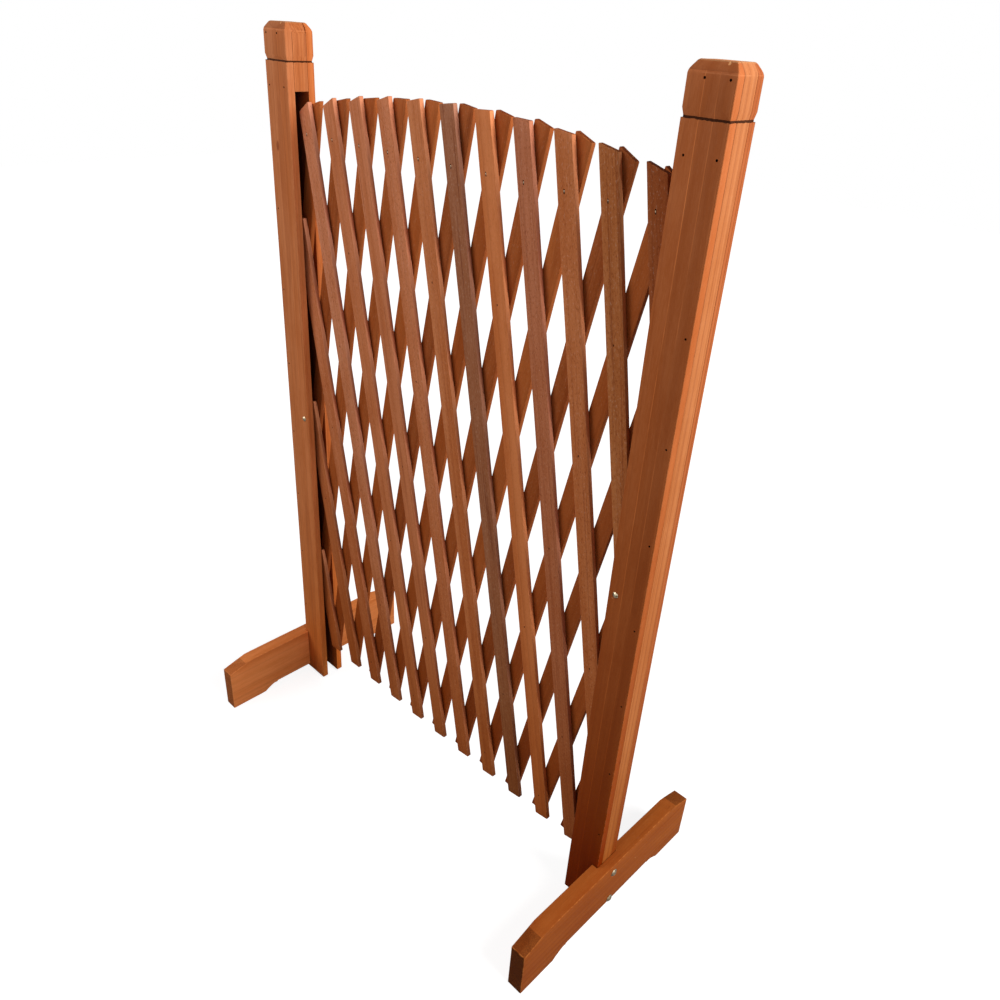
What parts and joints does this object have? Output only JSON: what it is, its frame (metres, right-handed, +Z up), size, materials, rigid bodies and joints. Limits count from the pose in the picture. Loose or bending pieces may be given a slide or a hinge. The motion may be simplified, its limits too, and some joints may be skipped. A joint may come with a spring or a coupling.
{
  "type": "expanding trellis",
  "caption": "Freestanding wooden scissor trellis: a folding lattice of thin riveted slats between two slotted posts on arched foot boards.",
  "frame": {"origin": "on the floor, halfway between the two posts and halfway through the lattice", "axes": "+Z up, +X along the width from the left post to the right post, front looks towards -Y"},
  "size_m": [0.7262, 0.365, 1.07],
  "materials": {
    "post_wood": "stained softwood, satin",
    "foot_wood": "stained softwood, satin",
    "front_slat_wood": "stained softwood, sawn",
    "back_slat_wood": "stained softwood, sawn",
    "bolt_steel": "zinc plated",
    "rivet_steel": "stained over",
    "brad_steel": "dull, stained over"
  },
  "bodies": {
    "left_post": {"left_front_cheek": "post_wood", "left_back_cheek": "post_wood", "left_spine": "post_wood", "left_head_block": "post_wood", "left_foot": "foot_wood", "left_foot_bolts": "bolt_steel", "left_pivot_bolt": "bolt_steel", "left_nuts": "bolt_steel", "left_brads": "brad_steel"},
    "right_post": {"right_front_cheek": "post_wood", "right_back_cheek": "post_wood", "right_spine": "post_wood", "right_head_block": "post_wood", "right_foot": "foot_wood", "right_foot_bolts": "bolt_steel", "right_pivot_bolt": "bolt_steel", "right_nuts": "bolt_steel", "right_brads": "brad_steel"},
    "front_01": {"slat_front_01": "front_slat_wood", "rivets_01": "rivet_steel"},
    "front_02": {"slat_front_02": "front_slat_wood", "rivets_02": "rivet_steel"},
    "front_03": {"slat_front_03": "front_slat_wood", "rivets_03": "rivet_steel"},
    "front_04": {"slat_front_04": "front_slat_wood", "rivets_04": "rivet_steel"},
    "front_05": {"slat_front_05": "front_slat_wood", "rivets_05": "rivet_steel"},
    "front_06": {"slat_front_06": "front_slat_wood", "rivets_06": "rivet_steel"},
    "front_07": {"slat_front_07": "front_slat_wood", "rivets_07": "rivet_steel"},
    "front_08": {"slat_front_08": "front_slat_wood", "rivets_08": "rivet_steel"},
    "front_09": {"slat_front_09": "front_slat_wood", "rivets_09": "rivet_steel"},
    "front_10": {"slat_front_10": "front_slat_wood", "rivets_10": "rivet_steel"},
    "front_11": {"slat_front_11": "front_slat_wood", "rivets_11": "rivet_steel"},
    "front_12": {"slat_front_12": "front_slat_wood", "rivets_12": "rivet_steel"},
    "front_13": {"slat_front_13": "front_slat_wood", "rivets_13": "rivet_steel"},
    "front_14": {"slat_front_14": "front_slat_wood", "rivets_14": "rivet_steel"},
    "back_01": {"slat_back_01": "back_slat_wood"},
    "back_02": {"slat_back_02": "back_slat_wood"},
    "back_03": {"slat_back_03": "back_slat_wood"},
    "back_04": {"slat_back_04": "back_slat_wood"},
    "back_05": {"slat_back_05": "back_slat_wood"},
    "back_06": {"slat_back_06": "back_slat_wood"},
    "back_07": {"slat_back_07": "back_slat_wood"},
    "back_08": {"slat_back_08": "back_slat_wood"},
    "back_09": {"slat_back_09": "back_slat_wood"},
    "back_10": {"slat_back_10": "back_slat_wood"},
    "back_11": {"slat_back_11": "back_slat_wood"},
    "back_12": {"slat_back_12": "back_slat_wood"},
    "back_13": {"slat_back_13": "back_slat_wood"},
    "back_14": {"slat_back_14": "back_slat_wood"}
  },
  "joints": [
    {"name": "fold", "type": "hinge", "parent": "left_post", "child": "front_02", "pos_m": [-0.30657, 0, 0.528], "axis": [0, -1, 0], "range_deg": [-6.4, 22.6]},
    {"name": "turn_back_02", "type": "hinge", "parent": "left_post", "child": "back_02", "pos_m": [-0.30657, 0, 0.528], "axis": [0, 1, 0], "range_deg": [-6.4, 22.6]},
    {"name": "turn_back_03", "type": "hinge", "parent": "front_02", "child": "back_03", "pos_m": [-0.2787, 0, 0.38978], "axis": [0, 1, 0], "range_deg": [-12.8, 45.2]},
    {"name": "turn_back_04", "type": "hinge", "parent": "front_02", "child": "back_04", "pos_m": [-0.25083, 0, 0.25156], "axis": [0, 1, 0], "range_deg": [-12.8, 45.2]},
    {"name": "turn_back_05", "type": "hinge", "parent": "front_02", "child": "back_05", "pos_m": [-0.22296, 0, 0.11335], "axis": [0, 1, 0], "range_deg": [-12.8, 45.2]},
    {"name": "turn_front_03", "type": "hinge", "parent": "back_05", "child": "front_03", "pos_m": [-0.19509, 0, 0.25156], "axis": [0, -1, 0], "range_deg": [-12.8, 45.2]},
    {"name": "turn_front_04", "type": "hinge", "parent": "back_05", "child": "front_04", "pos_m": [-0.16722, 0, 0.38978], "axis": [0, -1, 0], "range_deg": [-12.8, 45.2]},
    {"name": "turn_front_05", "type": "hinge", "parent": "back_05", "child": "front_05", "pos_m": [-0.13935, 0, 0.528], "axis": [0, -1, 0], "range_deg": [-12.8, 45.2]},
    {"name": "turn_front_06", "type": "hinge", "parent": "back_05", "child": "front_06", "pos_m": [-0.11148, 0, 0.66622], "axis": [0, -1, 0], "range_deg": [-12.8, 45.2]},
    {"name": "turn_front_07", "type": "hinge", "parent": "back_05", "child": "front_07", "pos_m": [-0.08361, 0, 0.80444], "axis": [0, -1, 0], "range_deg": [-12.8, 45.2]},
    {"name": "turn_front_08", "type": "hinge", "parent": "back_05", "child": "front_08", "pos_m": [-0.05574, 0, 0.94266], "axis": [0, -1, 0], "range_deg": [-12.8, 45.2]},
    {"name": "turn_back_06", "type": "hinge", "parent": "front_08", "child": "back_06", "pos_m": [-0.02787, 0, 0.80444], "axis": [0, 1, 0], "range_deg": [-12.8, 45.2]},
    {"name": "turn_back_07", "type": "hinge", "parent": "front_08", "child": "back_07", "pos_m": [0, 0, 0.66622], "axis": [0, 1, 0], "range_deg": [-12.8, 45.2]},
    {"name": "turn_back_08", "type": "hinge", "parent": "front_08", "child": "back_08", "pos_m": [0.02787, 0, 0.528], "axis": [0, 1, 0], "range_deg": [-12.8, 45.2]},
    {"name": "turn_back_09", "type": "hinge", "parent": "front_08", "child": "back_09", "pos_m": [0.05574, 0, 0.38978], "axis": [0, 1, 0], "range_deg": [-12.8, 45.2]},
    {"name": "turn_back_10", "type": "hinge", "parent": "front_08", "child": "back_10", "pos_m": [0.08361, 0, 0.25156], "axis": [0, 1, 0], "range_deg": [-12.8, 45.2]},
    {"name": "turn_back_11", "type": "hinge", "parent": "front_08", "child": "back_11", "pos_m": [0.11148, 0, 0.11335], "axis": [0, 1, 0], "range_deg": [-12.8, 45.2]},
    {"name": "turn_front_09", "type": "hinge", "parent": "back_11", "child": "front_09", "pos_m": [0.13935, 0, 0.25156], "axis": [0, -1, 0], "range_deg": [-12.8, 45.2]},
    {"name": "turn_front_10", "type": "hinge", "parent": "back_11", "child": "front_10", "pos_m": [0.16722, 0, 0.38978], "axis": [0, -1, 0], "range_deg": [-12.8, 45.2]},
    {"name": "turn_front_11", "type": "hinge", "parent": "back_11", "child": "front_11", "pos_m": [0.19509, 0, 0.528], "axis": [0, -1, 0], "range_deg": [-12.8, 45.2]},
    {"name": "turn_front_12", "type": "hinge", "parent": "back_11", "child": "front_12", "pos_m": [0.22296, 0, 0.66622], "axis": [0, -1, 0], "range_deg": [-12.8, 45.2]},
    {"name": "turn_front_13", "type": "hinge", "parent": "back_11", "child": "front_13", "pos_m": [0.25083, 0, 0.80444], "axis": [0, -1, 0], "range_deg": [-12.8, 45.2]},
    {"name": "turn_front_14", "type": "hinge", "parent": "back_11", "child": "front_14", "pos_m": [0.2787, 0, 0.94266], "axis": [0, -1, 0], "range_deg": [-12.8, 45.2]},
    {"name": "turn_back_12", "type": "hinge", "parent": "front_13", "child": "back_12", "pos_m": [0.2787, 0, 0.66622], "axis": [0, 1, 0], "range_deg": [-12.8, 45.2]},
    {"name": "turn_back_13", "type": "hinge", "parent": "front_13", "child": "back_13", "pos_m": [0.30657, 0, 0.528], "axis": [0, 1, 0], "range_deg": [-12.8, 45.2]},
    {"name": "turn_front_01", "type": "hinge", "parent": "back_03", "child": "front_01", "pos_m": [-0.30657, 0, 0.25156], "axis": [0, -1, 0], "range_deg": [-12.8, 45.2]},
    {"name": "turn_back_01", "type": "hinge", "parent": "front_03", "child": "back_01", "pos_m": [-0.30657, 0, 0.80444], "axis": [0, 1, 0], "range_deg": [-12.8, 45.2]},
    {"name": "turn_back_14", "type": "hinge", "parent": "front_12", "child": "back_14", "pos_m": [0.30657, 0, 0.25156], "axis": [0, 1, 0], "range_deg": [-12.8, 45.2]},
    {"name": "turn_right_post", "type": "hinge", "parent": "front_13", "child": "right_post", "pos_m": [0.30657, 0, 0.528], "axis": [0, 1, 0], "range_deg": [-6.4, 22.6]}
  ],
  "couplings": [
    {"joint": "turn_back_02", "follows": "fold", "ratio": 1},
    {"joint": "turn_back_03", "follows": "fold", "ratio": 2},
    {"joint": "turn_back_04", "follows": "fold", "ratio": 2},
    {"joint": "turn_back_05", "follows": "fold", "ratio": 2},
    {"joint": "turn_front_03", "follows": "fold", "ratio": 2},
    {"joint": "turn_front_04", "follows": "fold", "ratio": 2},
    {"joint": "turn_front_05", "follows": "fold", "ratio": 2},
    {"joint": "turn_front_06", "follows": "fold", "ratio": 2},
    {"joint": "turn_front_07", "follows": "fold", "ratio": 2},
    {"joint": "turn_front_08", "follows": "fold", "ratio": 2},
    {"joint": "turn_back_06", "follows": "fold", "ratio": 2},
    {"joint": "turn_back_07", "follows": "fold", "ratio": 2},
    {"joint": "turn_back_08", "follows": "fold", "ratio": 2},
    {"joint": "turn_back_09", "follows": "fold", "ratio": 2},
    {"joint": "turn_back_10", "follows": "fold", "ratio": 2},
    {"joint": "turn_back_11", "follows": "fold", "ratio": 2},
    {"joint": "turn_front_09", "follows": "fold", "ratio": 2},
    {"joint": "turn_front_10", "follows": "fold", "ratio": 2},
    {"joint": "turn_front_11", "follows": "fold", "ratio": 2},
    {"joint": "turn_front_12", "follows": "fold", "ratio": 2},
    {"joint": "turn_front_13", "follows": "fold", "ratio": 2},
    {"joint": "turn_front_14", "follows": "fold", "ratio": 2},
    {"joint": "turn_back_12", "follows": "fold", "ratio": 2},
    {"joint": "turn_back_13", "follows": "fold", "ratio": 2},
    {"joint": "turn_front_01", "follows": "fold", "ratio": 2},
    {"joint": "turn_back_01", "follows": "fold", "ratio": 2},
    {"joint": "turn_back_14", "follows": "fold", "ratio": 2},
    {"joint": "turn_right_post", "follows": "fold", "ratio": 1}
  ]
}
